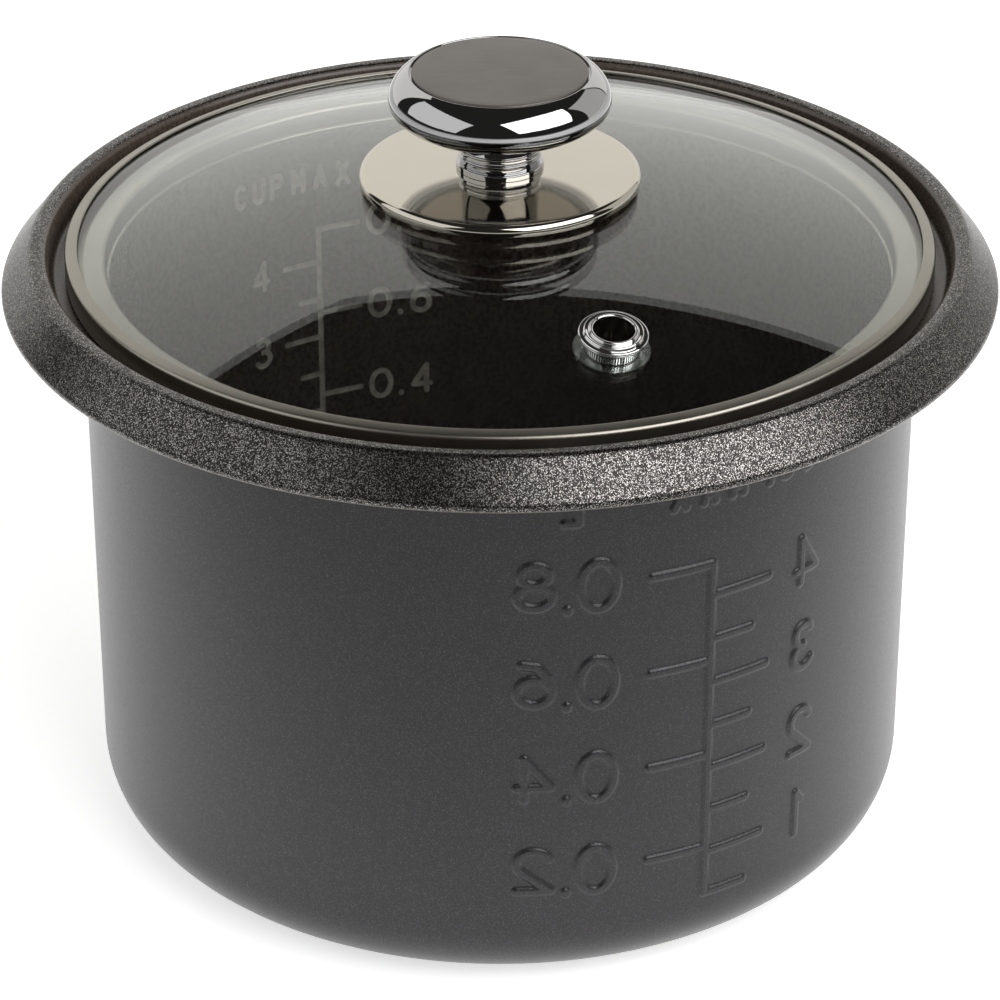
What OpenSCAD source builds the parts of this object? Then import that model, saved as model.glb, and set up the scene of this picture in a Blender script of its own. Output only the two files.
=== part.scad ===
// Inner cooking pot of a rice cooker, with its glass lid.
// The origin is the centre of the pot's base. +Z is up and -Y is the front.

/* [Pot] */
// Outside radius of the drawn wall
wall_r = 79.1; // [74:0.1:84]
// Height from the base to the crest of the flange
pot_h = 118.7; // [90:0.1:160]
// Thickness of the aluminium sheet
sheet_t = 1.5; // [1.2:0.1:1.8]
// Outside radius of the corner between base and wall
base_corner_r = 14; // [8:0.5:24]

/* [Flange] */
// Height of the crest above the skirt's lower edge
flange_h = 8.2; // [7.6:0.1:9.5]
// Depth of the lid's seat below the crest
seat_depth = 5.2; // [4.8:0.1:5.6]
// Radius of the rolled bead along the skirt's lower edge
bead_r = 1.3; // [1:0.1:1.5]
// Width of the flat land along the flange's crest
crest_land = 1.05; // [0.5:0.05:1.5]
// Lean of the recess wall that surrounds the lid, in degrees
recess_lean = 7; // [2:1:10]
// Angle of the skirt's face from vertical, in degrees
skirt_angle = 39.2; // [36:0.2:42]

/* [Level marks] */
// Height of the stamped marks on the wall
mark_relief = 0.35; // [0.2:0.05:0.5]
// Width of a mark's stroke
mark_w = 1.3; // [1:0.1:2]
// Height of the lowest litre mark above the base
first_litre_z = 26.7; // [24:0.1:30]
// Distance between two litre marks
litre_pitch = 20; // [12:0.5:20]
// Height of the lowest cup mark above the base
first_cup_z = 16.3; // [15.5:0.1:20]
// Distance between two half-cup marks
half_cup_pitch = 9.15; // [6:0.05:9.5]

/* [Lid] */
// Outside radius of the lid's steel rim
rim_r = 81.9; // [81.5:0.1:82.6]
// Thickness of the steel strip of the rim
strip_t = 0.5; // [0.4:0.05:0.6]
// Thickness of the glass
glass_t = 4; // [3.5:0.1:4]
// Outside radius of the glass dome's sphere
dome_r = 268; // [266:1:272]
// Radius of the hole in the middle of the glass
glass_hole_r = 5; // [4.6:0.1:5.6]

/* [Steam vent] */
// Angle of the vent round the lid, from the front, in degrees
vent_azimuth = 19.9; // [-60:0.1:60]
// Angle of the vent from the lid's axis, about the dome's centre, in degrees
vent_tilt = 12.6; // [10:0.1:13.5]
// Outside radius of the vent's top flange
vent_r = 6.3; // [5.8:0.1:7]
// Radius of the steam hole
steam_hole_r = 3.7; // [3:0.1:3.8]

/* [Knob] */
// Outside radius of the knob's head
head_r = 20.8; // [20:0.1:22]
// Radius of the disc let into the knob's top
disc_r = 16.4; // [15.5:0.1:16.6]
// Outside radius of the polished plate under the knob
plate_r = 26.4; // [25:0.1:30]
// Radius of the knob's stem
stem_r = 7.5; // [7.2:0.1:8]
// Radius of the screw's shank
screw_r = 2.5; // [2:0.1:2.6]

/* [Hidden] */
$fn = 96;

// Pot
inner_r = wall_r - sheet_t;
skirt_z = pot_h - flange_h;
seat_z = pot_h - seat_depth;
seat_edge_r = 2;
seat_fillet_r = 1.2;
seat_in_c = [inner_r + seat_edge_r, seat_z - seat_edge_r];
seat_out_c = [inner_r + 6, seat_z + seat_fillet_r];
crest_rise = seat_depth - seat_fillet_r - sheet_t;
crest_run = (seat_fillet_r + sheet_t + sin(recess_lean) * crest_rise) / cos(recess_lean);
crest_in_c = seat_out_c + [crest_run, crest_rise];
crest_out_c = crest_in_c + [crest_land, 0];
bead_drop = crest_out_c[1] - (skirt_z + bead_r - 0.5);
bead_run = (bead_drop * sin(skirt_angle) - bead_r + sheet_t) / cos(skirt_angle);
bead_c = crest_out_c + [bead_run, -bead_drop];
bead_start = skirt_angle + acos((bead_r - sheet_t) / bead_r);
litre_marks = 4;
cup_marks = 8;
mark_set_turn = [0, 180];
line_azimuth = 28.5;
line_half_angle = 0.7;
litre_azimuth = 19.6;
half_cup_azimuth = 35.35;
whole_cup_azimuth = 38.1;

// Lid: every height follows the seat, and the rim clears the seat slightly
seat_gap = 0.1;
rim_z = seat_z + seat_gap;
lip_r = rim_r - 2.4;
glass_top_z = rim_z + 5.55 - strip_t;
dome_z = glass_top_z - sqrt(dome_r * dome_r - lip_r * lip_r);
apex_z = dome_z + dome_r;
under_z = apex_z - glass_t;
inner_dome_r = dome_r - glass_t;
glass_r = rim_r - strip_t - 0.1;
locating_r = rim_r - 8.3;
locating_drop = 3.6;
vent_hole_r = 5;
seat_ring_t = 0.6;

// Knob: heights build up from the glass
gasket_t = 1.3;
plate_t = 0.8;
plate_under_z = apex_z + gasket_t;
plate_top_z = plate_under_z + plate_t;
stem_h = 8.6;
head_z = plate_top_z + stem_h;
head_c = [11, head_z + 4.83];
head_up = 6.9;
head_down = 4.83;
pocket_z = head_c[1] + 4.4;
disc_z = head_c[1] + 5.5;
shell_t = 1;
groove_r = disc_r + 0.25;
ledge_r = groove_r - 1.2;
filler_gap = 0.3;
core_r = 4.6;
lower_gasket_t = 1.2;
washer_t = 1;
washer_r = 8;
lock_washer_r = 4.6;
screw_head_r = 4.75;
screw_head_h = 2.8;

// Points along an arc about centre c, from angle a0 to angle a1
function arc(c, r, a0, a1, n = 10) =
    [for (i = [0:n]) let (a = a0 + (a1 - a0) * i / n) c + r * [cos(a), sin(a)]];
// Points along an elliptical arc with half-axes a and b
function oval(c, a, b, a0, a1, n = 16) =
    [for (i = [0:n]) let (t = a0 + (a1 - a0) * i / n) c + [a * cos(t), b * sin(t)]];
// Points along a sphere's section about the lid's axis, from radius r0 to radius r1
function dome_arc(sphere_r, r0, r1, n = 20) =
    [for (i = [0:n]) let (r = r0 + (r1 - r0) * i / n) [r, dome_z + sqrt(sphere_r * sphere_r - r * r)]];
// Height of the glass's outer face at radius r
function glass_z(r) = dome_z + sqrt(dome_r * dome_r - r * r);

// A ring turned about the axis
module ring(r_in, r_out, z, h) {
    translate([0, 0, z]) difference() {
        cylinder(r = r_out, h = h);
        translate([0, 0, -1]) cylinder(r = r_in, h = h + 2);
    }
}

// A stretch of ring between two azimuths from the front
module wall_strip(az0, az1, r_in, r_out, z, h) {
    rotate([0, 0, az0 - 90]) rotate_extrude(angle = az1 - az0)
        translate([r_in, z]) square([r_out - r_in, h]);
}

// Both sets of level marks, raised from the wall. The upright line stands a little above the ticks.
module level_marks() {
    line_bottom = first_cup_z - mark_w / 2;
    line_top = first_litre_z + (litre_marks - 1) * litre_pitch + mark_w / 2;
    root_r = wall_r - sheet_t / 2;
    tick_r = wall_r + mark_relief - 0.05;
    for (turn = mark_set_turn) rotate([0, 0, turn]) {
        wall_strip(line_azimuth - line_half_angle, line_azimuth + line_half_angle,
                   root_r - 0.1, wall_r + mark_relief, line_bottom - 0.1, line_top - line_bottom + 0.2);
        for (i = [0:litre_marks - 1])
            wall_strip(litre_azimuth, line_azimuth - 0.1, root_r, tick_r,
                       first_litre_z + i * litre_pitch - mark_w / 2, mark_w);
        for (i = [0:cup_marks - 1])
            wall_strip(line_azimuth + 0.1, i % 2 == 0 ? half_cup_azimuth : whole_cup_azimuth,
                       root_r, tick_r, first_cup_z + i * half_cup_pitch - mark_w / 2, mark_w);
    }
}

// One drawn sheet: base, wall, seat for the lid, recess wall, crest, skirt and bead
module pot_sheet() {
    corner_c = [wall_r - base_corner_r, base_corner_r];
    rotate_extrude() polygon(concat(
        [[0, 0]],
        arc(corner_c, base_corner_r, -90, 0),
        arc(seat_in_c, seat_edge_r - sheet_t, 180, 90, 4),
        arc(seat_out_c, seat_fillet_r + sheet_t, -90, -recess_lean, 6),
        [crest_in_c, crest_out_c],
        arc(bead_c, bead_r, bead_start, 360 + skirt_angle, 20),
        arc(crest_out_c, sheet_t, skirt_angle, 90, 6),
        arc(crest_in_c, sheet_t, 90, 180 - recess_lean, 8),
        arc(seat_out_c, seat_fillet_r, -recess_lean, -90, 6),
        arc(seat_in_c, seat_edge_r, 90, 180, 6),
        arc(corner_c, base_corner_r - sheet_t, 0, -90),
        [[0, sheet_t]]
    ));
}

module inner_pot() {
    color("#2f3340") union() {
        pot_sheet();
        level_marks();
    }
}

// Places children on the glass where the vent is, with +Z along the glass's normal
module at_vent() {
    translate([0, 0, dome_z]) rotate([0, 0, vent_azimuth - 90]) rotate([0, vent_tilt, 0])
        translate([0, 0, dome_r]) children();
}

module lid_glass() {
    edge_r = glass_r - 0.7;
    color("#9fb0a8", 0.35) difference() {
        rotate_extrude() polygon(concat(
            dome_arc(inner_dome_r, 0, edge_r),
            [[glass_r, glass_z(glass_r) - glass_t + 0.9], [glass_r, glass_z(glass_r) - 0.6]],
            dome_arc(dome_r, glass_r - 0.5, 0)
        ));
        translate([0, 0, under_z - 5]) cylinder(r = glass_hole_r, h = 15);
        at_vent() translate([0, 0, -10]) cylinder(r = vent_hole_r, h = 20);
    }
}

// Strip rolled over the glass's edge, with a flat web on the seat and a locating skirt
module lid_rim_band() {
    bend_c = [locating_r + 1, rim_z - 0.5];
    low_c = [rim_r - 0.8, rim_z + 0.8];
    top_c = [rim_r - 0.8, rim_z + 4.4];
    hem_c = [locating_r, rim_z - locating_drop];
    color("#c9c8c2") rotate_extrude() polygon(concat(
        arc(hem_c, 0.5, 90, 360, 14),
        arc(bend_c, 1 - strip_t, 180, 90, 6),
        arc(low_c, 0.8, -90, 0, 6),
        arc(top_c, 0.8, 0, 76, 6),
        [[lip_r + 0.15, glass_top_z + strip_t], [lip_r, glass_top_z + strip_t / 2]],
        [[lip_r, glass_top_z + 0.02], [rim_r - 0.9, rim_z + 4.68]],
        arc(top_c, 0.8 - strip_t, 60, 0, 3),
        arc(low_c, 0.8 - strip_t, 0, -90, 3),
        arc(bend_c, 1, 90, 180, 8)
    ));
}

module vent_seat_ring() {
    color("#b9b9b6") at_vent() rotate_extrude() polygon(concat(
        [[vent_hole_r - 0.6, 0.12], [vent_r - 0.3, 0.12]],
        arc([vent_r - 0.4, seat_ring_t - 0.2], 0.2, 0, 90, 5),
        [[vent_hole_r - 0.6, seat_ring_t]]
    ));
}

// Tube through the glass with a low, two-tier rolled flange and a flared lower end
module vent_eyelet() {
    tube_r = steam_hole_r + 0.7;
    tier_r = vent_r - 0.9;
    color("#d2d2cf") at_vent() rotate_extrude() polygon(concat(
        [[steam_hole_r, -glass_t - 2.6], [tube_r + 1.2, -glass_t - 2.6], [tube_r + 1.2, -glass_t - 2.2]],
        [[tube_r, -glass_t - 1.8], [tube_r, seat_ring_t]],
        arc([vent_r - 0.3, seat_ring_t + 0.3], 0.3, -90, 90, 8),
        [[tier_r, seat_ring_t + 0.6]],
        arc([tier_r - 0.3, seat_ring_t + 0.85], 0.3, 0, 90, 5),
        [[steam_hole_r + 0.75, seat_ring_t + 1.05]],
        arc([steam_hole_r + 0.35, seat_ring_t + 1.15], 0.35, 0, 180, 8)
    ));
}

module vent_grommet() {
    color("#232120") at_vent() difference() {
        translate([0, 0, -glass_t - 0.2]) cylinder(r = vent_hole_r, h = glass_t + 0.3);
        translate([0, 0, -glass_t - 1]) cylinder(r = steam_hole_r + 0.7, h = glass_t + 2);
    }
}

module vent_backing_washer() {
    color("#b9b9b6") at_vent() ring(steam_hole_r + 0.7, vent_r + 0.6, -glass_t - 1.3, 0.9);
}

module knob_insert_disc() {
    color("#5b5552") rotate_extrude() polygon(concat(
        [[0, pocket_z], [disc_r, pocket_z], [disc_r, disc_z - 0.4]],
        arc([disc_r - 0.4, disc_z - 0.4], 0.4, 0, 80, 5),
        [[disc_r * 0.6, disc_z + 0.22], [0, disc_z + 0.3]]
    ));
}

// Pressed shell: a rounded ring that is open at the top for the disc
module knob_shell() {
    lip_angle = acos((groove_r - head_c[0]) / (head_r - head_c[0]));
    head_a = head_r - head_c[0];
    color("#c4c6c9") rotate_extrude() polygon(concat(
        [[stem_r - 1.5, head_z]],
        oval(head_c, head_a, head_down, -90, 0),
        oval(head_c, head_a, head_up, 4, lip_angle),
        [[groove_r, pocket_z], [ledge_r, pocket_z], [ledge_r, pocket_z - shell_t]],
        oval(head_c, head_a - shell_t, head_up - shell_t, 30, 0, 8),
        oval(head_c, head_a - shell_t, head_down - shell_t, 0, -90, 8),
        [[stem_r - 1.5, head_z + shell_t]]
    ));
}

module knob_filler() {
    inset = shell_t + filler_gap;
    fill_a = head_r - head_c[0] - inset;
    color("#26262a") difference() {
        rotate_extrude() polygon(concat(
            [[0, head_z + inset]],
            oval(head_c, fill_a, head_down - inset, -90, 0, 8),
            oval(head_c, fill_a, head_up - inset, 0, 20, 4),
            [[ledge_r - filler_gap, pocket_z - inset], [ledge_r - filler_gap, pocket_z - 0.1]],
            [[0, pocket_z - 0.1]]
        ));
        translate([0, 0, head_z]) cylinder(r = core_r, h = 7);
    }
}

// Threaded bush that the screw pulls down against the plate
module knob_core() {
    color("#b08d4c") translate([0, 0, plate_top_z]) difference() {
        cylinder(r = core_r, h = stem_h + 7);
        translate([0, 0, -1]) cylinder(r = screw_r, h = stem_h + 6);
    }
}

// Turned tube with two raised rings below the head
module knob_stem() {
    bore_r = core_r + 0.1;
    foot_h = 1.3;
    ring_r = stem_r + 0.25;
    color("#c4c6c9") difference() {
        union() {
            translate([0, 0, plate_top_z + foot_h]) cylinder(r = stem_r, h = stem_h - foot_h);
            for (z = [2.3, 3.7]) translate([0, 0, plate_top_z + z]) cylinder(r = ring_r, h = 0.7);
        }
        translate([0, 0, plate_top_z]) cylinder(r = bore_r, h = stem_h + 1);
    }
}

module knob_collar() {
    color("#c4c6c9") difference() {
        union() {
            translate([0, 0, plate_top_z]) cylinder(r = stem_r + 0.75, h = 1);
            translate([0, 0, plate_top_z + 1]) cylinder(r1 = stem_r + 0.75, r2 = stem_r + 0.35, h = 0.3);
        }
        translate([0, 0, plate_top_z - 1]) cylinder(r = core_r + 0.1, h = 4);
    }
}

// Stamped plate with a rolled-down edge
module knob_base_plate() {
    edge_c = [plate_r - 1.4, plate_top_z - 2];
    skirt_bottom = glass_z(plate_r) + 0.45;
    color("#cfc8bb") difference() {
        rotate_extrude() polygon(concat(
            [[0, plate_under_z], [9, plate_under_z]],
            arc(edge_c, 1.4 - plate_t, 86, 0, 5),
            [[plate_r - plate_t, skirt_bottom], [plate_r, skirt_bottom]],
            arc(edge_c, 1.4, 0, 86, 8),
            [[9, plate_top_z], [0, plate_top_z]]
        ));
        translate([0, 0, plate_under_z - 1]) cylinder(r = screw_r + 0.3, h = 4);
    }
}

module knob_gasket_upper() {
    color("#d9d6cc") difference() {
        ring(screw_r + 0.6, 9, apex_z - 1, gasket_t + 1);
        translate([0, 0, dome_z]) rotate_extrude() polygon(concat(
            [for (r = [0:2:14]) [r, sqrt(dome_r * dome_r - r * r)]],
            [[14, dome_r - 6], [0, dome_r - 6]]
        ));
    }
}

module glass_hole_bushing() {
    color("#d9d6cc") ring(screw_r + 0.3, glass_hole_r, under_z - 0.02, glass_t - 0.1);
}

module knob_gasket_lower() {
    color("#d9d6cc") ring(screw_r + 0.3, 9, under_z - 0.05 - lower_gasket_t, lower_gasket_t - 0.12);
}

module knob_washer() {
    color("#b9b9b6") ring(screw_r + 0.2, washer_r, under_z - 0.05 - lower_gasket_t - washer_t, washer_t);
}

// Split spring washer
module lock_washer() {
    z = under_z - 0.05 - lower_gasket_t - 2 * washer_t;
    color("#b9b9b6") difference() {
        ring(screw_r + 0.15, lock_washer_r, z, washer_t);
        rotate([0, 0, 20]) translate([0, -0.4, z - 1]) cube([6, 0.8, washer_t + 2]);
    }
}

// Pan-head screw with a cross recess, driven from inside the lid
module knob_screw() {
    head_top = under_z - 0.05 - lower_gasket_t - 2 * washer_t;
    head_bottom = head_top - screw_head_h;
    color("#c4c6c9") difference() {
        union() {
            rotate_extrude() polygon(concat(
                [[0, head_bottom]],
                arc([screw_head_r - 1.6, head_bottom + 1.6], 1.6, -90, 0, 6),
                [[screw_head_r, head_top], [0, head_top]]
            ));
            translate([0, 0, head_top]) cylinder(r = screw_r, h = plate_top_z + stem_h + 3 - head_top);
        }
        for (turn = [0, 90]) rotate([0, 0, turn])
            translate([-2.4, -0.5, head_bottom - 1]) cube([4.8, 1, 2.8]);
    }
}

inner_pot();
lid_glass();
lid_rim_band();
vent_seat_ring();
vent_eyelet();
vent_grommet();
vent_backing_washer();
knob_insert_disc();
knob_shell();
knob_filler();
knob_core();
knob_stem();
knob_collar();
knob_base_plate();
knob_gasket_upper();
glass_hole_bushing();
knob_gasket_lower();
knob_washer();
lock_washer();
knob_screw();
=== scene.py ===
"""Inner cooking pot of a rice cooker with its glass lid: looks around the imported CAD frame.

Lengths in the profiles are millimetres in the CAD's frame: the origin is the centre of the pot's
base, +Z is up and -Y is the front. Azimuths are degrees from the front towards +X.
"""

import math

import bmesh
import bpy
import numpy as np
from mathutils import Matrix, Vector


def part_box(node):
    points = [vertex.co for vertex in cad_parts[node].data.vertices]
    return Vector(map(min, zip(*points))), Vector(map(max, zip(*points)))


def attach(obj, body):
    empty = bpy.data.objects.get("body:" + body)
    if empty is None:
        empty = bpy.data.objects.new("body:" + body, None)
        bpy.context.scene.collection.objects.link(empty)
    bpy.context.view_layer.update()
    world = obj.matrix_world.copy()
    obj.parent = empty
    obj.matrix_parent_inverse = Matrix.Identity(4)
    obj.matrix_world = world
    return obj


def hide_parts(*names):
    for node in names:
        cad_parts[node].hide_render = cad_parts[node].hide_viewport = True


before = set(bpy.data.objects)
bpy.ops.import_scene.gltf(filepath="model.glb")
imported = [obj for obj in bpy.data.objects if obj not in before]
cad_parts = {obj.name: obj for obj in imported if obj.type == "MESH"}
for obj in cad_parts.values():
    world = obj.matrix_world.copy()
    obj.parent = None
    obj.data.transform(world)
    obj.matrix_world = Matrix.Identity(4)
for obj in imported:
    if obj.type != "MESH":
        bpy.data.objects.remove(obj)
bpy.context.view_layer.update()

MM = 0.001


def low(node):
    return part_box(node)[0] / MM


def high(node):
    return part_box(node)[1] / MM


# ---------------------------------------------------------------- dimensions, mm

# Pot, from the frame and the sheet's own rules
CREST_Z = high("inner_pot").z
SHEET_T = 1.5
WALL_R = 79.1
INNER_R = WALL_R - SHEET_T
CORNER_R = 14.0
SKIRT_Z = CREST_Z - 8.2
SEAT_DROP = 5.2
SEAT_Z = CREST_Z - SEAT_DROP
# Bend at the wall's top, and bend at the recess wall's foot
SEAT_LIP_R = 2.0
RECESS_FOOT_R = 1.2
RECESS_RUN = 6.0
CREST_FLAT = 1.05
LEAN = 7.0
SKIRT_ANGLE = 39.2
BEAD_R = 1.3
BEAD_INSET = 0.04
LINING_T = 0.6
# Where lining and outer coating meet on the crest, in degrees
COATING_EDGE = 122.0
# The floor's corner starts a little after its flat
CORNER_START = -86

# Lid
RIM_R = high("lid_rim_band").x
RIM_Z = SEAT_Z + 0.1
STRIP_T = 0.5
LIP_R = RIM_R - 2.4
DOME_R = 268.0
GLASS_T = 4.0
GLASS_TOP_Z = RIM_Z + 5.05
DOME_Z = GLASS_TOP_Z - math.sqrt(DOME_R**2 - LIP_R**2)
GLASS_R = RIM_R - STRIP_T - 0.1
GLASS_HOLE_R = 5.0
VENT_AZIMUTH = 19.9
VENT_TILT = 12.6
VENT_R = 6.3
VENT_HOLE_R = 5.0
STEAM_HOLE_R = 3.7
VENT_SEAT_T = 0.6

# Knob
PLATE_R = high("knob_base_plate").x
PLATE_TOP = high("knob_base_plate").z
PLATE_LOW = low("knob_base_plate").z
HEAD_R = high("knob_shell").x
HEAD_LOW = low("knob_shell").z
STEM_R = 7.5
DISC_R = high("knob_insert_disc").x
DISC_TOP = high("knob_insert_disc").z
DISC_LOW = low("knob_insert_disc").z
HEAD_BELOW = 4.83
HEAD_ABOVE = 6.9
HEAD_WALL = 1.0
STEM_BORE_R = 4.7
PLATE_HOLE_R = 2.8
PLATE_FLAT_R = 9.0
PLATE_EDGE_R = 1.4
PLATE_T = 0.8

# Tolerances, mm
ON_AXIS = 1e-6
ON_WALL = 0.05


# ---------------------------------------------------------------- profiles


def arc(centre, radius, a0, a1, count):
    """Points along a circular arc, angles in degrees."""
    steps = np.radians(np.linspace(a0, a1, count + 1))
    return [(centre[0] + radius * math.cos(a), centre[1] + radius * math.sin(a)) for a in steps]


def oval(centre, half_r, half_z, a0, a1, count):
    """Points along an elliptical arc, angles in degrees."""
    steps = np.radians(np.linspace(a0, a1, count + 1))
    return [(centre[0] + half_r * math.cos(a), centre[1] + half_z * math.sin(a)) for a in steps]


def line(start, end, count):
    """Points along a straight stretch, without its first point."""
    return [
        (start[0] + (end[0] - start[0]) * i / count, start[1] + (end[1] - start[1]) * i / count)
        for i in range(1, count + 1)
    ]


def spread(points, longest):
    """The same outline with points added so that no stretch is longer than longest."""
    out = [points[0]]
    for start, end in zip(points, points[1:]):
        length = math.dist(start, end)
        out += line(start, end, max(1, math.ceil(length / longest)))
    return out


def dome_height(r, sphere_r=DOME_R):
    return DOME_Z + math.sqrt(sphere_r**2 - r * r)


def dome_arc(sphere_r, r0, r1, count):
    return [(r, dome_height(r, sphere_r)) for r in np.linspace(r0, r1, count + 1)]


# ---------------------------------------------------------------- meshes


def new_object(name, mesh):
    piece = bpy.data.objects.new(name, mesh)
    bpy.context.scene.collection.objects.link(piece)
    return piece


def lathe(name, profile, segments, sharp_deg=40.0):
    """A turned solid. profile is a list of (radius, height); a radius of 0 is a pole on the axis."""
    angles = np.linspace(0.0, 2.0 * math.pi, segments, endpoint=False)
    cos, sin = np.cos(angles), np.sin(angles)
    verts, rows = [], []
    for r, z in profile:
        if r < ON_AXIS:
            rows.append([len(verts)] * segments)
            verts.append((0.0, 0.0, z * MM))
            continue
        first = len(verts)
        rows.append(list(range(first, first + segments)))
        verts += [(r * c * MM, r * s * MM, z * MM) for c, s in zip(cos, sin)]
    faces = []
    pairs = list(zip(rows, rows[1:]))
    if profile[0][0] >= ON_AXIS or profile[-1][0] >= ON_AXIS:
        pairs.append((rows[-1], rows[0]))
    for lower, upper in pairs:
        for i in range(segments):
            j = (i + 1) % segments
            ring = [lower[i], lower[j], upper[j], upper[i]]
            face = [v for k, v in enumerate(ring) if v not in ring[:k]]
            if len(face) > 2:
                faces.append(face)
    mesh = bpy.data.meshes.new(name)
    mesh.from_pydata(verts, [], faces)
    tidy_mesh(mesh, sharp_deg)
    return new_object(name, mesh)


def tidy_mesh(mesh, sharp_deg):
    """Welds doubles, points every face outwards and smooths all but the sharp edges."""
    bm = bmesh.new()
    bm.from_mesh(mesh)
    bmesh.ops.remove_doubles(bm, verts=bm.verts, dist=1e-7)
    bmesh.ops.recalc_face_normals(bm, faces=bm.faces)
    bm.to_mesh(mesh)
    bm.free()
    mesh.shade_smooth()
    mesh.set_sharp_from_angle(angle=math.radians(sharp_deg))


def use_material(piece, *materials):
    piece.data.materials.clear()
    for material in materials:
        piece.data.materials.append(material)


def place(piece, body, slot, *stands_for):
    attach(piece, body)
    if stands_for:
        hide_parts(*stands_for)


# ---------------------------------------------------------------- materials


class Nodes:
    """Short calls for building one material's node tree."""

    def __init__(self, name):
        self.material = bpy.data.materials.new(name)
        self.material.use_nodes = True
        self.tree = self.material.node_tree
        self.shader = self.tree.nodes["Principled BSDF"]
        self.coords = self.tree.nodes.new("ShaderNodeTexCoord").outputs["Object"]

    def add(self, kind, inputs=None, **settings):
        node = self.tree.nodes.new(kind)
        for key, value in settings.items():
            setattr(node, key, value)
        for key, value in (inputs or {}).items():
            self.put(node.inputs[key], value)
        return node

    def put(self, socket, value):
        if isinstance(value, bpy.types.NodeSocket):
            self.tree.links.new(value, socket)
        else:
            socket.default_value = value

    def set(self, **values):
        for key, value in values.items():
            self.put(self.shader.inputs[key.replace("_", " ")], value)

    def noise(self, scale, detail=2.0, rough=0.5, vector=None):
        node = self.add("ShaderNodeTexNoise", {"Scale": scale, "Detail": detail, "Roughness": rough})
        self.tree.links.new(vector or self.coords, node.inputs["Vector"])
        return node.outputs["Fac"]

    def cells(self, scale):
        return self.add("ShaderNodeTexVoronoi", {"Scale": scale, "Vector": self.coords})

    def ramp(self, value, low_end, high_end, low_out=0.0, high_out=1.0):
        ends = {"From Min": low_end, "From Max": high_end, "To Min": low_out, "To Max": high_out}
        node = self.add("ShaderNodeMapRange", {"Value": value, **ends})
        return node.outputs["Result"]

    def mix(self, factor, first, second):
        node = self.add("ShaderNodeMix", data_type="RGBA")
        self.put(node.inputs["Factor"], factor)
        self.put(node.inputs[6], first)
        self.put(node.inputs[7], second)
        return node.outputs[2]

    def math(self, operation, first, second=0.0):
        node = self.add("ShaderNodeMath", operation=operation)
        self.put(node.inputs[0], first)
        self.put(node.inputs[1], second)
        return node.outputs[0]

    def bump(self, height, distance, strength, normal=None):
        node = self.add("ShaderNodeBump", {"Height": height, "Distance": distance, "Strength": strength})
        if normal is not None:
            self.tree.links.new(normal, node.inputs["Normal"])
        return node.outputs["Normal"]

    def turned(self):
        """Coordinates that vary with radius and height but not round the axis."""
        split = self.add("ShaderNodeSeparateXYZ", {"Vector": self.coords})
        x, y, z = split.outputs
        squares = self.math("ADD", self.math("MULTIPLY", x, x), self.math("MULTIPLY", y, y))
        radius = self.math("SQRT", squares)
        joined = self.add("ShaderNodeCombineXYZ", {"X": radius, "Y": 0.0, "Z": z})
        return joined.outputs["Vector"]


def grey(level):
    return (level, level, level, 1.0)


def shaded(colour, factor):
    """The same colour, darker or lighter."""
    return [c * factor for c in colour[:3]] + [1.0]


def speckled_coating(name, base, fleck, fleck_scale, fleck_share, roughness, metallic, coat):
    """Baked-on coating with metallic flecks, slightly raised, over a clouded base colour."""
    n = Nodes(name)
    cells = n.cells(fleck_scale)
    split = n.add("ShaderNodeSeparateColor", {"Color": cells.outputs["Color"]})
    is_fleck = n.ramp(split.outputs["Red"], 1.0 - fleck_share, 1.0 - fleck_share * 0.4)
    depth = n.noise(fleck_scale * 0.3, 3.0, 0.6)
    clouds = n.noise(35.0, 3.0, 0.55)
    shade = n.mix(n.ramp(clouds, 0.3, 0.7), shaded(base, 0.92), base)
    shade = n.mix(n.ramp(depth, 0.35, 0.7, 0.0, 0.5), shade, shaded(base, 1.5))
    n.set(Base_Color=n.mix(is_fleck, shade, fleck))
    n.set(Metallic=n.ramp(is_fleck, 0.0, 1.0, metallic, 1.0))
    n.set(Roughness=n.ramp(depth, 0.2, 0.8, roughness + 0.05, roughness - 0.05))
    n.set(Coat_Weight=coat, Coat_Roughness=0.24)
    fine = n.bump(cells.outputs["Distance"], 0.00003, 0.4)
    n.set(Normal=n.bump(n.noise(1500.0, 2.0), 0.00003, 0.4, fine))
    return n.material


def make_lining():
    """Glossy brown-black non-stick coating with the level scale printed in its grooves."""
    n = Nodes("nonstick_lining")
    mask = n.add("ShaderNodeAttribute", attribute_name="print").outputs["Fac"]
    grain = n.noise(900.0, 3.0, 0.6)
    base = n.mix(n.ramp(grain, 0.35, 0.7), (0.060, 0.045, 0.036, 1.0), (0.085, 0.066, 0.054, 1.0))
    wear = n.ramp(n.noise(420.0, 4.0, 0.7), 0.3, 0.62, 0.45, 1.0)
    ink = n.mix(n.noise(260.0), (0.56, 0.52, 0.45, 1.0), (0.72, 0.67, 0.58, 1.0))
    n.set(Base_Color=n.mix(n.math("MULTIPLY", n.ramp(mask, 0.25, 0.65), wear), base, ink))
    n.set(Roughness=n.ramp(grain, 0.3, 0.75, 0.24, 0.32), Specular_IOR_Level=0.5)
    n.set(Normal=n.bump(n.noise(260.0, 2.0), 0.00006, 0.25))
    return n.material


def polished_metal(name, tint, roughness, line_depth, smudge, line_scale=9000.0):
    """Bright metal with faint turning lines and slightly uneven polish."""
    n = Nodes(name)
    lines = n.noise(line_scale, 2.0, 0.6, n.turned())
    haze = n.noise(90.0, 4.0, 0.65)
    n.set(Base_Color=n.mix(haze, shaded(tint, 0.94), tint), Metallic=1.0)
    n.set(Roughness=n.ramp(haze, 0.35, 0.75, roughness, roughness + smudge))
    n.set(Normal=n.bump(lines, line_depth, 0.35))
    return n.material


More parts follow.
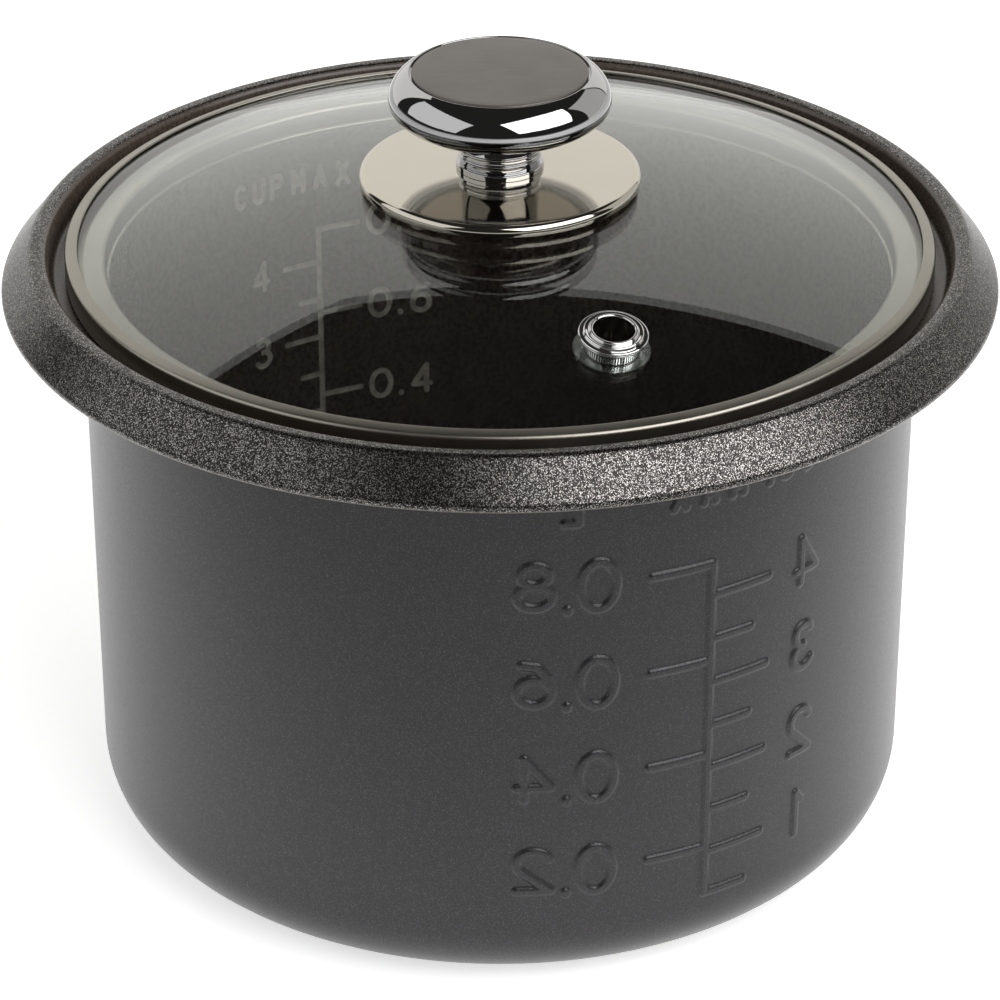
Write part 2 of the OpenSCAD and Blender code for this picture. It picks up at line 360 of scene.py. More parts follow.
def make_disc():
    """Satin disc with a faint brushed streak across it."""
    n = Nodes("knob_disc_satin")
    stretch = n.add("ShaderNodeMapping", {"Vector": n.coords, "Scale": (140.0, 5200.0, 1.0)})
    streaks = n.noise(1.0, 3.0, 0.6, stretch.outputs["Vector"])
    haze = n.noise(110.0, 3.0, 0.6)
    colour = n.mix(n.ramp(streaks, 0.25, 0.75), (0.135, 0.122, 0.111, 1.0), (0.175, 0.160, 0.147, 1.0))
    n.set(Base_Color=colour, Metallic=0.55, Roughness=n.ramp(haze, 0.3, 0.7, 0.36, 0.44))
    n.set(Normal=n.bump(streaks, 0.000012, 0.5))
    return n.material


def make_glass():
    """Clear tempered glass, faintly green in its thickness."""
    n = Nodes("lid_glass_clear")
    ripple = n.noise(28.0, 1.0, 0.4)
    n.set(Base_Color=n.mix(ripple, (0.93, 0.965, 0.945, 1.0), (0.95, 0.975, 0.955, 1.0)))
    n.set(Roughness=0.0, IOR=1.5, Transmission_Weight=1.0)
    n.set(Normal=n.bump(ripple, 0.00004, 0.1))
    return n.material


def make_silicone(name, dark, light):
    n = Nodes(name)
    grain = n.noise(1800.0, 3.0, 0.6)
    n.set(Base_Color=n.mix(grain, dark, light))
    n.set(Roughness=n.ramp(grain, 0.3, 0.7, 0.42, 0.55), Subsurface_Weight=0.3, Subsurface_Scale=0.002)
    n.set(Normal=n.bump(grain, 0.00003, 0.4))
    return n.material


def make_resin():
    n = Nodes("filler_resin")
    grain = n.noise(1400.0, 3.0, 0.6)
    n.set(Base_Color=n.mix(grain, (0.018, 0.018, 0.02, 1.0), (0.035, 0.034, 0.036, 1.0)))
    n.set(Roughness=n.ramp(grain, 0.3, 0.7, 0.45, 0.6), Normal=n.bump(grain, 0.00004, 0.5))
    return n.material


BODY_BASE = (0.018, 0.0165, 0.0185, 1.0)
BODY_FLECK = (0.085, 0.082, 0.088, 1.0)
SKIRT_BASE = (0.013, 0.0115, 0.0105, 1.0)
SKIRT_FLECK = (0.42, 0.40, 0.385, 1.0)

body_coating = speckled_coating(
    "body_coating", BODY_BASE, BODY_FLECK,
    fleck_scale=8200.0, fleck_share=0.16, roughness=0.38, metallic=0.45, coat=0.32,
)
skirt_coating = speckled_coating(
    "skirt_coating", SKIRT_BASE, SKIRT_FLECK,
    fleck_scale=7200.0, fleck_share=0.27, roughness=0.29, metallic=0.75, coat=0.12,
)
lining = make_lining()
# Name, tint, roughness, depth of the turning lines in metres, smudge, scale of the lines
steel_rim = polished_metal("spun_steel_rim", (0.345, 0.325, 0.285, 1.0), 0.30, 0.00002, 0.08, 5200.0)
chrome = polished_metal("knob_chrome", (0.49, 0.49, 0.495, 1.0), 0.02, 0.000003, 0.03)
plate_steel = polished_metal("plate_polished", (0.60, 0.565, 0.49, 1.0), 0.05, 0.000006, 0.05)
vent_chrome = polished_metal("vent_chrome", (0.80, 0.80, 0.79, 1.0), 0.05, 0.000006, 0.06)
washer_steel = polished_metal("washer_steel", (0.62, 0.62, 0.61, 1.0), 0.24, 0.00002, 0.12)
screw_steel = polished_metal("screw_plating", (0.70, 0.70, 0.69, 1.0), 0.18, 0.00001, 0.14)
brass = polished_metal("core_brass", (0.62, 0.47, 0.24, 1.0), 0.22, 0.00002, 0.12)
edge_metal = polished_metal("bare_edge", (0.24, 0.22, 0.19, 1.0), 0.34, 0.00002, 0.12)
disc_satin = make_disc()
glass_clear = make_glass()
silicone = make_silicone("silicone", (0.62, 0.60, 0.54, 1.0), (0.74, 0.72, 0.66, 1.0))
dark_silicone = make_silicone("dark_silicone", (0.016, 0.015, 0.014, 1.0), (0.028, 0.026, 0.024, 1.0))
resin = make_resin()


# ---------------------------------------------------------------- level scale

# Strokes in a box one unit high; x runs to the right as the scale is read from inside
GLYPH_W = 0.62
# Where the letters of CUP MAX stand between the first one and the last one
HEADER_SPOTS = (0.0, 0.19, 0.37, 0.58, 0.79, 1.0)
# Points farther than this from a stroke, in mm, aren't measured
SEARCH = 4.0


def ring_stroke(cx, cy, rx, ry, a0, a1, count):
    steps = np.radians(np.linspace(a0, a1, count + 1))
    return [(cx + rx * math.cos(a), cy + ry * math.sin(a)) for a in steps]


def glyph(char):
    """The strokes of one plain round-ended character, as polylines."""
    w = GLYPH_W
    half = w / 2
    shapes = {
        "0": [ring_stroke(half, 0.5, half, 0.5, 0, 360, 28)],
        "1": [[(half * 0.6, 0.8), (half * 1.15, 1.0), (half * 1.15, 0.0)]],
        "2": [ring_stroke(half, 0.7, half, 0.3, 160, -30, 14) + [(0.0, 0.0), (w, 0.0)]],
        "3": [
            ring_stroke(half, 0.75, half * 0.85, 0.25, 150, -90, 14),
            ring_stroke(half, 0.26, half, 0.26, 90, -150, 14),
        ],
        "4": [[(w * 0.78, 0.0), (w * 0.78, 1.0), (0.0, 0.28), (w, 0.28)]],
        "6": [
            ring_stroke(half, 0.31, half, 0.31, 0, 360, 22),
            [(0.0, 0.31), (w * 0.12, 0.66), (w * 0.42, 0.92), (w * 0.86, 0.97)],
        ],
        "8": [
            ring_stroke(half, 0.27, half, 0.27, 0, 360, 22),
            ring_stroke(half, 0.77, half * 0.8, 0.23, 0, 360, 20),
        ],
        ".": [[(half, 0.0), (half, 0.04)]],
        "C": [ring_stroke(half, 0.5, half, 0.5, 50, 310, 22)],
        "U": [[(0.0, 1.0), (0.0, 0.3)] + ring_stroke(half, 0.3, half, 0.3, 180, 360, 12) + [(w, 1.0)]],
        "P": [
            [(0.0, 0.0), (0.0, 1.0), (half, 1.0)]
            + ring_stroke(half, 0.75, half, 0.25, 90, -90, 10)
            + [(0.0, 0.5)]
        ],
        "M": [[(0.0, 0.0), (0.0, 1.0), (half, 0.35), (w, 1.0), (w, 0.0)]],
        "A": [[(0.0, 0.0), (half, 1.0), (w, 0.0)], [(w * 0.2, 0.34), (w * 0.8, 0.34)]],
        "X": [[(0.0, 0.0), (w, 1.0)], [(0.0, 1.0), (w, 0.0)]],
        "L": [[(0.0, 1.0), (0.0, 0.0), (w * 0.9, 0.0)]],
    }
    return shapes[char]


class Layout:
    """Where one face of the wall carries the scale.

    Names with _az and _end are azimuths in degrees. Levels, _z and _h are mm; _w is a width as a
    share of the digit's height. header_az holds the azimuths of the first and last letter.
    """

    def __init__(self, **values):
        vars(self).update(values)

    def point(self, az, z):
        return (math.radians(az) * self.radius, z)

    def text(self, char, az, z, height, width=None):
        """Strokes of a character centred at azimuth az, with its foot at height z."""
        width = width or height
        cx = math.radians(az) * self.radius
        return [
            [(cx - (x - GLYPH_W / 2) * width, z + y * height) for x, y in stroke] for stroke in glyph(char)
        ]

    def strokes(self):
        bottom, top = self.cup_levels[0], self.litre_levels[-1]
        out = [[self.point(self.line_az, bottom), self.point(self.line_az, top)]]
        for i, z in enumerate(self.litre_levels):
            out.append([self.point(self.litre_end, z), self.point(self.line_az, z)])
            foot = z - self.digit_h / 2
            out += self.text("0", self.zero_az, foot, self.digit_h, self.digit_h * self.zero_w)
            out += self.text(".", self.point_az, foot, self.digit_h)
            foot += self.digit_h - self.tenth_h
            out += self.text(str(2 * (i + 1)), self.litre_az, foot, self.tenth_h, self.digit_h * self.digit_w)
        for i, z in enumerate(self.cup_levels):
            end = self.half_end if i % 2 == 0 else self.whole_end
            out.append([self.point(self.line_az, z), self.point(end, z)])
            if i % 2 == 1:
                foot = z - self.cup_digit_h / 2
                width = self.cup_digit_h * 0.9
                out += self.text(str((i + 1) // 2), self.cup_az, foot, self.cup_digit_h, width)
        start, end = self.header_az
        for char, share in zip("CUPMAX", HEADER_SPOTS):
            az = start + (end - start) * share
            out += self.text(char, az, self.header_z, self.header_h, self.header_h * 0.85)
        out += self.text("L", self.litre_header_az, self.header_z, self.header_h)
        return out


outside_scale = Layout(
    radius=WALL_R,
    litre_levels=[26.7 + 20.0 * i for i in range(4)],
    cup_levels=[16.3 + 9.15 * i for i in range(8)],
    line_az=28.5,
    litre_end=20.0,
    half_end=34.8,
    whole_end=37.55,
    digit_h=9.6,
    tenth_h=8.6,
    cup_digit_h=9.0,
    zero_w=1.1,
    digit_w=1.05,
    zero_az=12.7,
    point_az=8.7,
    litre_az=4.4,
    cup_az=44.5,
    header_h=4.4,
    header_z=99.6,
    header_az=(44.0, 23.5),
    litre_header_az=9.0,
)
inside_scale = Layout(
    radius=INNER_R,
    litre_levels=[29.69 + 19.09 * i for i in range(4)],
    cup_levels=[19.25 + 8.64 * i for i in range(8)],
    line_az=28.9,
    litre_end=22.3,
    half_end=32.2,
    whole_end=34.85,
    digit_h=6.0,
    tenth_h=6.0,
    cup_digit_h=6.0,
    zero_w=1.14,
    digit_w=0.98,
    zero_az=19.0,
    point_az=15.7,
    litre_az=12.4,
    cup_az=39.3,
    header_h=4.4,
    header_z=96.4,
    header_az=(42.5, 24.6),
    litre_header_az=15.0,
)


def segment_list(strokes):
    """All strokes as an array of start and end points."""
    rows = []
    for stroke in strokes:
        rows += [(*a, *b) for a, b in zip(stroke, stroke[1:])]
    return np.array(rows)


def distance_to(segments, points):
    """Distance from each point to the nearest segment, all in mm along the wall."""
    best = np.full(len(points), 1e9)
    for ax, ay, bx, by in segments:
        near = (
            (points[:, 0] > min(ax, bx) - SEARCH)
            & (points[:, 0] < max(ax, bx) + SEARCH)
            & (points[:, 1] > min(ay, by) - SEARCH)
            & (points[:, 1] < max(ay, by) + SEARCH)
        )
        index = np.nonzero(near)[0]
        if not len(index):
            continue
        p = points[index]
        dx, dy = bx - ax, by - ay
        span = max(dx * dx + dy * dy, 1e-9)
        t = np.clip(((p[:, 0] - ax) * dx + (p[:, 1] - ay) * dy) / span, 0.0, 1.0)
        gap = np.hypot(p[:, 0] - ax - t * dx, p[:, 1] - ay - t * dy)
        best[index] = np.minimum(best[index], gap)
    return best


def wall_points(coords, radius):
    """Arc length from the front and height, in mm, folded so that both sets of marks share one layout."""
    azimuth = np.arctan2(coords[:, 0], -coords[:, 1])
    azimuth = np.where(azimuth < 0.0, azimuth + math.pi, azimuth)
    return np.stack([azimuth * radius, coords[:, 2] / MM], axis=1)


def stamp(piece, layout, wall_r, stroke_w, soft, relief, levels, attribute=None):
    """Splits the wall's faces near the strokes and moves the wall outwards along them.

    That raises the marks on the outer face and sinks them on the inner one. attribute names a
    layer that holds 1 on the marks and 0 off them.
    """
    segments = segment_list(layout.strokes())
    reach = stroke_w / 2 + soft
    bm = bmesh.new()
    bm.from_mesh(piece.data)
    for level in range(levels):
        faces = [
            f
            for f in bm.faces
            if all(abs(math.hypot(v.co.x, v.co.y) / MM - wall_r) < ON_WALL for v in f.verts)
            and max(v.co.z for v in f.verts) / MM < SEAT_Z - 3.0
            and len(f.verts) == 4
        ]
        centres = np.array([f.calc_center_median()[:] for f in faces])
        size = max(e.calc_length() for e in faces[0].edges) / MM / (2**level)
        near = distance_to(segments, wall_points(centres, layout.radius)) < reach + size * 0.75
        chosen = {e for f, hit in zip(faces, near) if hit for e in f.edges}
        bmesh.ops.subdivide_edges(bm, edges=list(chosen), cuts=1, use_grid_fill=True)
    bm.verts.ensure_lookup_table()
    wall = [v for v in bm.verts if abs(math.hypot(v.co.x, v.co.y) / MM - wall_r) < ON_WALL]
    wall = [v for v in wall if CORNER_R - 1.0 < v.co.z / MM < SEAT_Z - 2.5]
    coords = np.array([v.co[:] for v in wall])
    gap = distance_to(segments, wall_points(coords, layout.radius))
    t = np.clip((gap - (stroke_w / 2 - soft)) / (2 * soft), 0.0, 1.0)
    height = relief * (1.0 - t * t * (3.0 - 2.0 * t))
    for vert, move in zip(wall, height):
        r = math.hypot(vert.co.x, vert.co.y)
        k = (wall_r + move) * MM / r
        vert.co.x *= k
        vert.co.y *= k
    mask = {v.index: float(m / relief) for v, m in zip(wall, height)}
    bmesh.ops.triangulate(bm, faces=[f for f in bm.faces if len(f.verts) > 4])
    bm.to_mesh(piece.data)
    bm.free()
    if attribute:
        values = np.zeros(len(piece.data.vertices), np.float32)
        for index, value in mask.items():
            values[index] = value
        layer = piece.data.attributes.new(attribute, "FLOAT", "POINT")
        layer.data.foreach_set("value", values)
    piece.data.shade_smooth()


# ---------------------------------------------------------------- pot

# Centres of the sheet's bends, going outwards
seat_in = (INNER_R + SEAT_LIP_R, SEAT_Z - SEAT_LIP_R)
seat_out = (INNER_R + RECESS_RUN, SEAT_Z + RECESS_FOOT_R)
crest_rise = SEAT_DROP - RECESS_FOOT_R - SHEET_T
crest_run = (RECESS_FOOT_R + SHEET_T + math.sin(math.radians(LEAN)) * crest_rise) / math.cos(
    math.radians(LEAN)
)
crest_in = (seat_out[0] + crest_run, seat_out[1] + crest_rise)
crest_out = (crest_in[0] + CREST_FLAT, crest_in[1])
bead_drop = crest_out[1] - (SKIRT_Z + BEAD_R - 0.5)
bead_run = (bead_drop * math.sin(math.radians(SKIRT_ANGLE)) - BEAD_R + SHEET_T) / math.cos(
    math.radians(SKIRT_ANGLE)
)
bead = (crest_out[0] + bead_run - BEAD_INSET, crest_out[1] - bead_drop)
bead_start = SKIRT_ANGLE + math.degrees(math.acos((BEAD_R - SHEET_T) / BEAD_R))
corner = (WALL_R - CORNER_R, CORNER_R)
WALL_STEP = 2.0


def build_pot_shell():
    """The sheet's outer face, closed behind by a hidden face under the lining."""
    back = LINING_T + 0.02
    outer = [(0.0, 0.0)] + spread([(2.0, 0.0), (corner[0], 0.0)], 12.0)
    outer += arc(corner, CORNER_R, CORNER_START, 0, 14)
    wall_top = (WALL_R, seat_in[1])
    outer += spread([outer[-1], wall_top], WALL_STEP)[1:]
    outer += arc(seat_in, SEAT_LIP_R - SHEET_T, 180, 90, 5)[1:]
    outer += arc(seat_out, RECESS_FOOT_R + SHEET_T, -90, -LEAN, 7)
    outer += [crest_in, (crest_out[0] + 0.02, crest_out[1] - 0.02)]
    outer += arc(bead, BEAD_R, bead_start, 360 + SKIRT_ANGLE, 26)
    outer += spread([outer[-1], arc(crest_out, SHEET_T, SKIRT_ANGLE, 90, 2)[0]], 2.2)[1:-1]
    outer += arc(crest_out, SHEET_T, SKIRT_ANGLE, 90, 8)
    outer += arc(crest_in, SHEET_T, 90, COATING_EDGE, 4)
    inner = arc(crest_in, SHEET_T - back, COATING_EDGE, 180 - LEAN, 4)
    inner += arc(seat_out, RECESS_FOOT_R + back, -LEAN, -90, 5)
    inner += arc(seat_in, SEAT_LIP_R - back, 90, 180, 5)
    inner += arc(corner, CORNER_R - SHEET_T + back, 0, -90, 6)
    inner += [(0.0, SHEET_T - back)]
    piece = lathe("pot_shell", outer + inner, 240)
    stamp(piece, outside_scale, WALL_R, stroke_w=1.6, soft=0.30, relief=0.46, levels=3)
    use_material(piece, body_coating, skirt_coating, edge_metal)
    for face in piece.data.polygons:
        r = math.hypot(face.center.x, face.center.y) / MM
        z = face.center.z / MM
        if r > WALL_R + 0.9 and z > SKIRT_Z - 1.0:
            facing_down = face.normal.z < -0.55 and r > bead[0] - 0.2 and z < bead[1]
            face.material_index = 2 if facing_down else 1
    return piece


def build_pot_lining():
    """Non-stick face: floor, wall, seat and recess wall."""
    front = [(0.0, SHEET_T)] + spread([(2.0, SHEET_T), (corner[0], SHEET_T)], 12.0)
    front += arc(corner, CORNER_R - SHEET_T, CORNER_START, 0, 14)
    front += spread([front[-1], (INNER_R, seat_in[1])], WALL_STEP)[1:]
    front += arc(seat_in, SEAT_LIP_R, 180, 90, 8)[1:]
    front += arc(seat_out, RECESS_FOOT_R, -90, -LEAN, 8)
    front += arc(crest_in, SHEET_T, 180 - LEAN, COATING_EDGE, 8)
    back = arc(crest_in, SHEET_T - LINING_T, COATING_EDGE, 180 - LEAN, 4)
    back += arc(seat_out, RECESS_FOOT_R + LINING_T, -LEAN, -90, 5)
    back += arc(seat_in, SEAT_LIP_R - LINING_T, 90, 180, 5)
    back += arc(corner, CORNER_R - SHEET_T + LINING_T, 0, -90, 6)
    back += [(0.0, SHEET_T - LINING_T)]
    piece = lathe("pot_lining", front + back, 240)
    stamp(piece, inside_scale, INNER_R, stroke_w=1.15, soft=0.38, relief=0.18, levels=3, attribute="print")
    use_material(piece, lining)
    return piece


pot_shell = build_pot_shell()
place(pot_shell, "pot", "pot_coating", "inner_pot")
pot_lining = build_pot_lining()
place(pot_lining, "pot", "pot_coating")


# ---------------------------------------------------------------- lid


def vent_frame():
    """Place on the glass's outer face where the vent is, with +Z along the glass's normal."""
    turn = Matrix.Rotation(math.radians(VENT_AZIMUTH - 90.0), 4, "Z")
    tilt = Matrix.Rotation(math.radians(VENT_TILT), 4, "Y")
    centre = Matrix.Translation((0.0, 0.0, DOME_Z * MM))
    rise = Matrix.Translation((0.0, 0.0, DOME_R * MM))
    return centre @ turn @ tilt @ rise


def at_vent(piece):
    piece.data.transform(vent_frame())
    return piece


def build_glass():
    edge = GLASS_R - 0.7
    under = dome_arc(DOME_R - GLASS_T, GLASS_HOLE_R, edge, 44)
    top = dome_arc(DOME_R, GLASS_R - 0.5, GLASS_HOLE_R, 44)
    side_low = dome_height(GLASS_R) - GLASS_T + 0.9
    side_high = dome_height(GLASS_R) - 0.6
    piece = lathe("lid_glass_pane", under + [(GLASS_R, side_low), (GLASS_R, side_high)] + top, 256, 35.0)
    drill = lathe("drill", [(0.0, -12.0), (VENT_HOLE_R, -12.0), (VENT_HOLE_R, 12.0), (0.0, 12.0)], 64)
    at_vent(drill)
    cut = piece.modifiers.new("cut", "BOOLEAN")
    cut.operation = "DIFFERENCE"
    cut.object = drill
    cut.solver = "EXACT"
    bpy.context.view_layer.update()
    cut_mesh = bpy.data.meshes.new_from_object(piece.evaluated_get(bpy.context.evaluated_depsgraph_get()))
    piece.modifiers.clear()
    piece.data = cut_mesh
    bpy.data.objects.remove(drill)
    smooth_dome_normals(piece.data)
    use_material(piece, glass_clear)
    return piece


def smooth_dome_normals(mesh):
    """Gives both faces of the dome their true normals, so that its reflections stay even."""
    mesh.shade_smooth()
    mesh.set_sharp_from_angle(angle=math.radians(35.0))
    centre = Vector((0.0, 0.0, DOME_Z * MM))
    normals = [Vector(c.vector) for c in mesh.corner_normals]
    for face in mesh.polygons:
        radial = (face.center - centre).normalized()
        along = face.normal.dot(radial)
        if abs(along) < 0.98:
            continue
        for loop in face.loop_indices:
            point = mesh.vertices[mesh.loops[loop].vertex_index].co
            true_normal = (point - centre).normalized()
            normals[loop] = true_normal if along > 0 else -true_normal
    mesh.normals_split_custom_set(normals)


def build_rim():
    """Steel strip rolled over the glass's edge, with its flat web and locating skirt."""
    locating_r = RIM_R - 8.3
    bend = (locating_r + 1.0, RIM_Z - 0.5)
    low_corner = (RIM_R - 0.8, RIM_Z + 0.8)
    top_corner = (RIM_R - 0.8, RIM_Z + 4.4)
    hem = (locating_r, RIM_Z - 3.6)
    lip_top = GLASS_TOP_Z + STRIP_T
    outline = arc(hem, 0.5, 90, 360, 20)
    outline += arc(bend, 1.0 - STRIP_T, 180, 90, 8)
    outline += arc(low_corner, 0.8, -90, 0, 10)
    outline += arc(top_corner, 0.8, 0, 76, 12)
    outline += arc((LIP_R + STRIP_T / 2, lip_top - STRIP_T / 2), STRIP_T / 2, 76, 256, 10)
    outline += [(RIM_R - 0.9, RIM_Z + 4.68)]
    outline += arc(top_corner, 0.8 - STRIP_T, 60, 0, 5)
    outline += arc(low_corner, 0.8 - STRIP_T, 0, -90, 5)
    outline += arc(bend, 1.0, 90, 180, 10)
    piece = lathe("lid_rim", outline, 288, 50.0)
    use_material(piece, steel_rim)
    return piece


pane = build_glass()
place(pane, "lid", "lid_glass", "lid_glass")
rim = build_rim()
place(rim, "lid", "rim_steel", "lid_rim_band")


# ---------------------------------------------------------------- steam vent


def build_vent_eyelet():
    """Tube with a low flange in two tiers and a rolled inner lip."""
    tube_r = STEAM_HOLE_R + 0.7
    foot = -GLASS_T - 2.6
    outline = [(STEAM_HOLE_R, foot)]
    outline += arc((tube_r + 1.0, foot + 0.2), 0.2, -90, 90, 6)
    outline += [(tube_r, foot + 0.8), (tube_r, VENT_SEAT_T)]
    outline += arc((VENT_R - 0.3, VENT_SEAT_T + 0.3), 0.3, -90, 90, 14)
    outline += [(VENT_R - 0.82, VENT_SEAT_T + 0.56)]
    outline += arc((VENT_R - 1.2, VENT_SEAT_T + 0.85), 0.3, 0, 90, 8)
    outline += [(tube_r + 0.32, VENT_SEAT_T + 0.95), (tube_r + 0.1, VENT_SEAT_T + 0.95)]
    outline += arc((STEAM_HOLE_R + 0.35, VENT_SEAT_T + 1.15), 0.35, -10, 180, 14)
    piece = at_vent(lathe("vent_eyelet_turned", outline, 128, 60.0))
    use_material(piece, vent_chrome)
    return piece


def build_vent_seat():
    top = VENT_SEAT_T - 0.02
    outline = [(4.5, 0.13), (VENT_R - 0.35, 0.13)]
    outline += arc((VENT_R - 0.4, top - 0.2), 0.2, -60, 90, 8)
    outline += [(4.5, top)]
    piece = at_vent(lathe("vent_seat_turned", outline, 128, 60.0))
    use_material(piece, vent_chrome)
    return piece


place(build_vent_eyelet(), "lid", "vent_chrome", "vent_eyelet")
place(build_vent_seat(), "lid", "vent_chrome", "vent_seat_ring")


# ---------------------------------------------------------------- knob

# Centre of the ring's section, and its half width
HEAD_C = (11.0, HEAD_LOW + HEAD_BELOW)
HEAD_A = HEAD_R - HEAD_C[0]


def build_knob_shell():
    """Rounded chrome ring with a small rolled lip round the disc's recess."""
    groove_r = DISC_R + 0.42
    lip_angle = math.degrees(math.acos((groove_r + 0.3 - HEAD_C[0]) / HEAD_A))
    outline = [(STEM_R - 1.5, HEAD_LOW)]
    outline += oval(HEAD_C, HEAD_A, HEAD_BELOW, -90, 0, 40)
    outline += oval(HEAD_C, HEAD_A, HEAD_ABOVE, 2, lip_angle, 30)
    lip_z = outline[-1][1]
    outline += arc((groove_r + 0.2, lip_z - 0.2), 0.2, 68, 180, 8)
    outline += [(groove_r, DISC_LOW), (groove_r - 1.2, DISC_LOW)]
    outline += [(groove_r - 1.2, DISC_LOW - 1.0)]
    outline += oval(HEAD_C, HEAD_A - HEAD_WALL, HEAD_ABOVE - HEAD_WALL, 30, 0, 12)
    outline += oval(HEAD_C, HEAD_A - HEAD_WALL, HEAD_BELOW - HEAD_WALL, 0, -90, 12)
    outline += [(STEM_R - 1.5, HEAD_LOW + HEAD_WALL)]
    piece = lathe("knob_head_shell", outline, 256, 45.0)
    use_material(piece, chrome)
    return piece


def build_knob_disc():
    outline = [(0.0, DISC_LOW), (DISC_R, DISC_LOW)]
    edge = (DISC_R - 0.35, DISC_TOP - 0.65)
    outline += arc(edge, 0.35, 0, 84, 8)
    crown = np.linspace(edge[0], 0.0, 14)[1:]
    outline += [(r, edge[1] + 0.35 + 0.3 * (1.0 - (r / edge[0]) ** 2)) for r in crown]
    piece = lathe("knob_disc_inlay", outline, 192, 50.0)
    use_material(piece, disc_satin)
    return piece


def build_knob_stem():
    """Tube with two raised rings above its foot."""
    foot = PLATE_TOP + 1.3
    outline = [(STEM_BORE_R, foot), (STEM_R, foot)]
    for height in (2.3, 3.7):
        z = PLATE_TOP + height
        outline += [(STEM_R, z)]
        outline += arc((STEM_R, z + 0.35), 0.25, -70, 70, 8)
        outline += [(STEM_R, z + 0.7)]
    outline += [(STEM_R, HEAD_LOW), (STEM_BORE_R, HEAD_LOW)]
    piece = lathe("knob_stem_turned", outline, 160, 40.0)
    use_material(piece, chrome)
    return piece


def build_knob_collar():
    r = STEM_R + 0.75
    outline = [(STEM_BORE_R, PLATE_TOP), (r - 0.1, PLATE_TOP)]
    outline += [(r, PLATE_TOP + 0.1), (r, PLATE_TOP + 0.85)]
    outline += arc((r - 0.35, PLATE_TOP + 0.9), 0.35, 0, 90, 6)
    outline += [(STEM_BORE_R, PLATE_TOP + 1.29)]
    piece = lathe("knob_collar_turned", outline, 160, 40.0)
    use_material(piece, chrome)
    return piece


def build_base_plate():
    """Polished stamped plate, very slightly domed, with a rolled-down edge."""
    edge = (PLATE_R - PLATE_EDGE_R, PLATE_TOP - 2.0)
    under = PLATE_TOP - PLATE_T
    outline = [(PLATE_HOLE_R, under), (PLATE_FLAT_R, under)]
    outline += arc(edge, PLATE_EDGE_R - PLATE_T, 86, 0, 8)
    outline += [(PLATE_R - PLATE_T, PLATE_LOW + 0.1)]
    outline += arc((PLATE_R - 0.4, PLATE_LOW + 0.35), 0.35, 190, 350, 8)
    outline += arc(edge, PLATE_EDGE_R, 0, 86, 16)
    start, end = outline[-1], (PLATE_FLAT_R, PLATE_TOP)
    for i in range(1, 13):
        t = i / 12
        swell = 0.12 * math.sin(math.pi * t)
        outline.append((start[0] + (end[0] - start[0]) * t, start[1] + (end[1] - start[1]) * t + swell))
    outline += [(PLATE_HOLE_R, PLATE_TOP)]
    piece = lathe("knob_plate_stamped", outline, 256, 45.0)
    use_material(piece, plate_steel)
    return piece


place(build_knob_shell(), "lid", "knob_chrome", "knob_shell")
place(build_knob_disc(), "lid", "knob_disc", "knob_insert_disc")
place(build_knob_stem(), "lid", "knob_chrome", "knob_stem")
place(build_knob_collar(), "lid", "knob_chrome", "knob_collar")
place(build_base_plate(), "lid", "plate_steel", "knob_base_plate")

# CAD nodes that are hidden or small keep their own shape and only get a finish
KEPT = {
    "vent_grommet": dark_silicone,
    "vent_backing_washer": washer_steel,
    "knob_filler": resin,
    "knob_core": brass,
    "knob_gasket_upper": silicone,
    "glass_hole_bushing": silicone,
    "knob_gasket_lower": silicone,
    "knob_washer": washer_steel,
    "lock_washer": washer_steel,
    "knob_screw": screw_steel,
}
for node_name, finish in KEPT.items():
    use_material(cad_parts[node_name], finish)


# ---------------------------------------------------------------- stage, lights and camera

AIM = (0.0, 0.0, 0.12)


def toward(azimuth, elevation, distance):
    """A point seen from the lid in the given direction."""
    az, el = math.radians(azimuth), math.radians(elevation)
    flat = distance * math.cos(el)
    return (flat * math.sin(az), -flat * math.cos(az), AIM[2] + distance * math.sin(el))


def emitter(name, size, centre, target, level, tint=(1.0, 1.0, 1.0), glossy=True):
    """A rectangular studio panel that faces its target."""
    light = bpy.data.lights.new(name, "AREA")
    light.shape = "RECTANGLE"
    light.size, light.size_y = size
    light.energy = level * size[0] * size[1] * math.pi
    light.color = tint
    lamp = bpy.data.objects.new(name, light)
    bpy.context.scene.collection.objects.link(lamp)
    lamp.location = centre
    direction = Vector(target) - Vector(centre)
    lamp.rotation_euler = direction.to_track_quat("-Z", "Y").to_euler()
    lamp.visible_camera = False
    lamp.visible_glossy = glossy
    lamp.visible_transmission = glossy
    return lamp


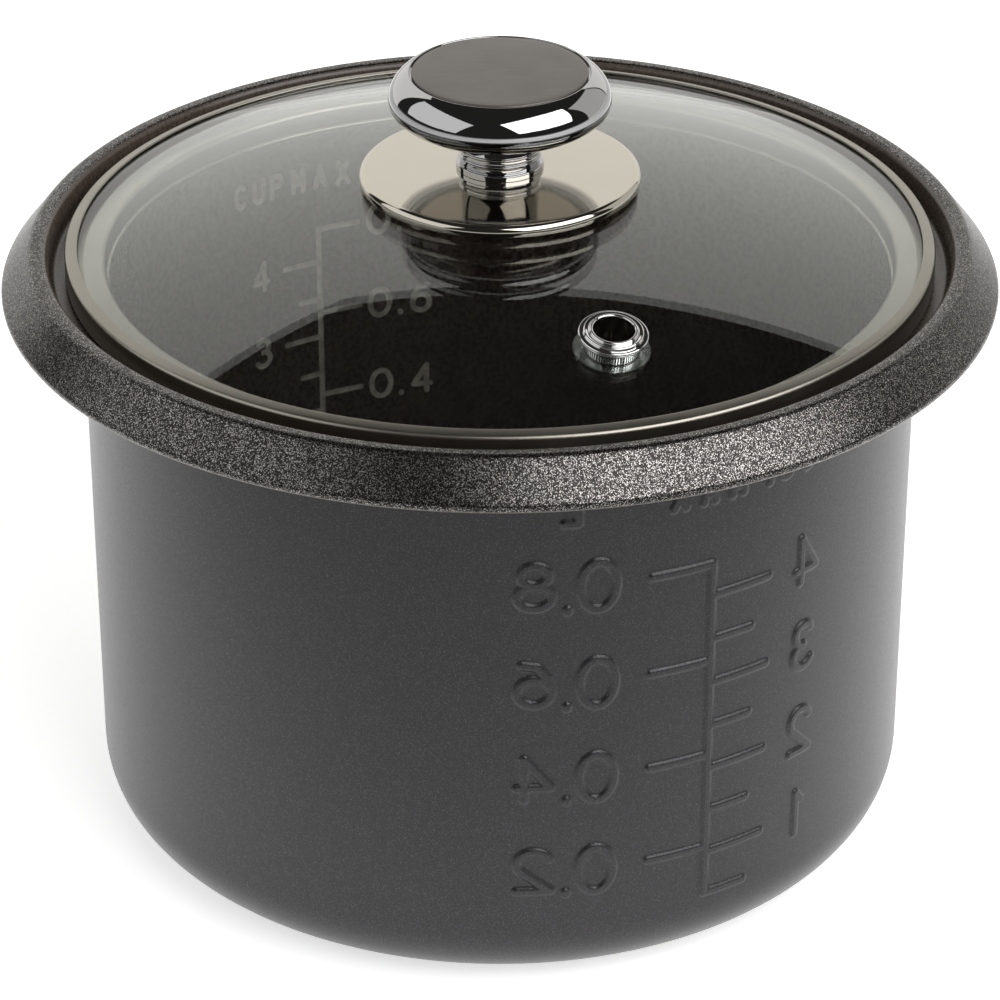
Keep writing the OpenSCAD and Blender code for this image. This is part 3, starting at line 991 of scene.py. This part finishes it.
def build_floor():
    mesh = bpy.data.meshes.new("floor")
    half = 8.0
    corners = [(-half, -half, 0), (half, -half, 0), (half, half, 0), (-half, half, 0)]
    mesh.from_pydata(corners, [], [(0, 1, 2, 3)])
    floor = new_object("floor", mesh)
    # Just clear of the pot's base
    floor.location.z = -0.0002
    n = Nodes("floor_white")
    # White where the camera sees it, darker beyond, so that the pot's sides don't reflect it
    behind = n.add("ShaderNodeVectorMath", {0: n.coords, 1: (0.0, 0.2, 0.0)}, operation="SUBTRACT")
    length = n.add("ShaderNodeVectorMath", {0: behind.outputs["Vector"]}, operation="LENGTH")
    n.set(Base_Color=n.mix(n.noise(3.0), grey(0.86), grey(0.88)), Roughness=0.9)
    falloff = n.ramp(length.outputs["Value"], 0.3, 0.42)
    n.set(Emission_Color=n.mix(falloff, grey(1.0), grey(0.06)))
    n.set(Emission_Strength=0.62, Specular_IOR_Level=0.1)
    use_material(floor, n.material)


def build_world():
    world = bpy.data.worlds.new("studio")
    bpy.context.scene.world = world
    world.use_nodes = True
    background = world.node_tree.nodes["Background"]
    background.inputs["Color"].default_value = (1.0, 0.97, 0.93, 1.0)
    background.inputs["Strength"].default_value = 0.025


def build_camera():
    data = bpy.data.cameras.new("camera")
    data.lens = 145.39
    data.sensor_width = 36.0
    data.clip_start = 0.01
    camera = bpy.data.objects.new("camera", data)
    bpy.context.scene.collection.objects.link(camera)
    camera.location = (0.0, -0.69106, 0.44384)
    camera.rotation_euler = (math.radians(61.021), 0.0, 0.0)
    bpy.context.scene.camera = camera


build_floor()
build_world()
build_camera()
# Name, size in metres, centre, target, level, tint
WARM = (1.0, 0.985, 0.95)
emitter("backdrop", (2.4, 2.4), (0.65, 2.35, 1.2), (0.65, 0.0, 1.2), 0.95, WARM)
emitter("backdrop_wing", (1.612, 2.4), (-1.12, 1.78, 1.2), (0.0, 0.66, 1.2), 0.97, WARM)
emitter("side_right", (2.0, 2.0), (1.9, 1.29, 1.0), (0.0, 1.29, 1.0), 0.6, WARM)
emitter("softbox_left", (2.3, 1.5), toward(-75.0, 29.0, 1.8), AIM, 0.95)
emitter("softbox_right", (2.1, 1.4), toward(49.0, 40.0, 1.8), AIM, 3.4)
emitter("fill_top", (1.6, 1.6), (0.0, 0.0, 2.6), AIM, 1.2, glossy=False)
bpy.context.scene.view_settings.view_transform = "Standard"
